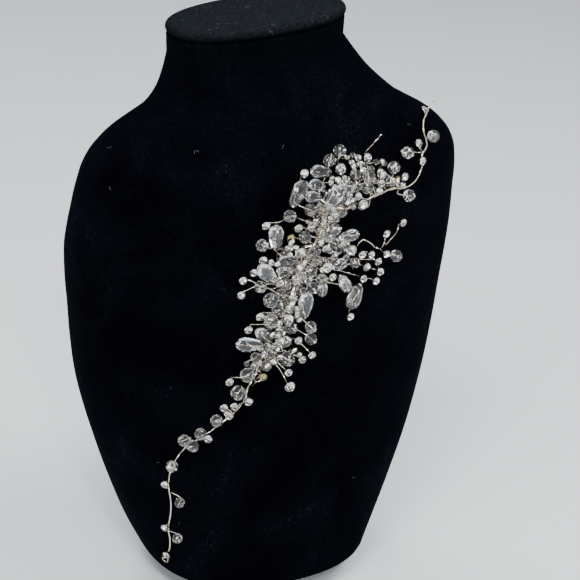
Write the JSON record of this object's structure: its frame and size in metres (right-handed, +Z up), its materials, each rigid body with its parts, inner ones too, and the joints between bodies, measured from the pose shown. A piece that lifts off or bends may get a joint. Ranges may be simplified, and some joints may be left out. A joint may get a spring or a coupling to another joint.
{
  "type": "hair vine on a neck bust",
  "caption": "Long bridal hair vine of faceted crystals, drops and cup-set rhinestones on twisted silver wire, draped over a black velvet neck bust on a flat foot",
  "frame": {"origin": "on the base of the foot, under the middle of the body's width", "axes": "+Z up through the neck, -Y out of the chest towards the viewer, +X towards the shoulder where the upper end of the vine lies"},
  "size_m": [0.199, 0.1322, 0.3029],
  "materials": {
    "velvet": "matte black cotton velvet",
    "cap_velvet": "matte black velvet, worn pale at the rim",
    "foot_velvet": "matte black velvet",
    "wire": "bright twisted silver-plated wire",
    "cups": "bright silver-plated brass",
    "crystal": "clear faceted glass",
    "rhinestone": "foil-backed faceted glass"
  },
  "bodies": {
    "root": {"bust_foot": "foot_velvet", "bust_body": "velvet", "neck_cap": "cap_velvet", "main_wire": "wire", "tip_twigs": "wire", "tip_crystals": "crystal", "tip_cups": "cups", "tip_stones": "rhinestone", "upper_twigs": "wire", "upper_crystals": "crystal", "upper_cups": "cups", "upper_stones": "rhinestone", "left_sprig_twigs": "wire", "left_sprig_crystals": "crystal", "left_sprig_cups": "cups", "left_sprig_stones": "rhinestone", "middle_twigs": "wire", "middle_crystals": "crystal", "middle_cups": "cups", "middle_stones": "rhinestone", "left_twigs": "wire", "left_crystals": "crystal", "left_cups": "cups", "left_stones": "rhinestone", "right_twigs": "wire", "right_crystals": "crystal", "right_cups": "cups", "right_stones": "rhinestone", "right_sprig_twigs": "wire", "right_sprig_crystals": "crystal", "right_sprig_cups": "cups", "right_sprig_stones": "rhinestone", "lower_twigs": "wire", "lower_crystals": "crystal", "lower_cups": "cups", "lower_stones": "rhinestone", "tail_twigs": "wire", "tail_crystals": "crystal", "tail_cups": "cups", "tail_stones": "rhinestone", "upper_drop_1": "crystal", "upper_drop_2": "crystal", "upper_drop_3": "crystal", "upper_drop_4": "crystal", "upper_drop_5": "crystal", "middle_drop_1": "crystal", "left_drop_1": "crystal", "left_drop_2": "crystal", "left_drop_3": "crystal", "left_drop_4": "crystal", "right_drop_1": "crystal", "right_drop_2": "crystal", "right_drop_3": "crystal", "right_drop_4": "crystal", "right_sprig_drop_1": "crystal", "lower_drop_1": "crystal", "lower_drop_2": "crystal", "lower_drop_3": "crystal", "lower_drop_4": "crystal"}
  },
  "joints": []
}
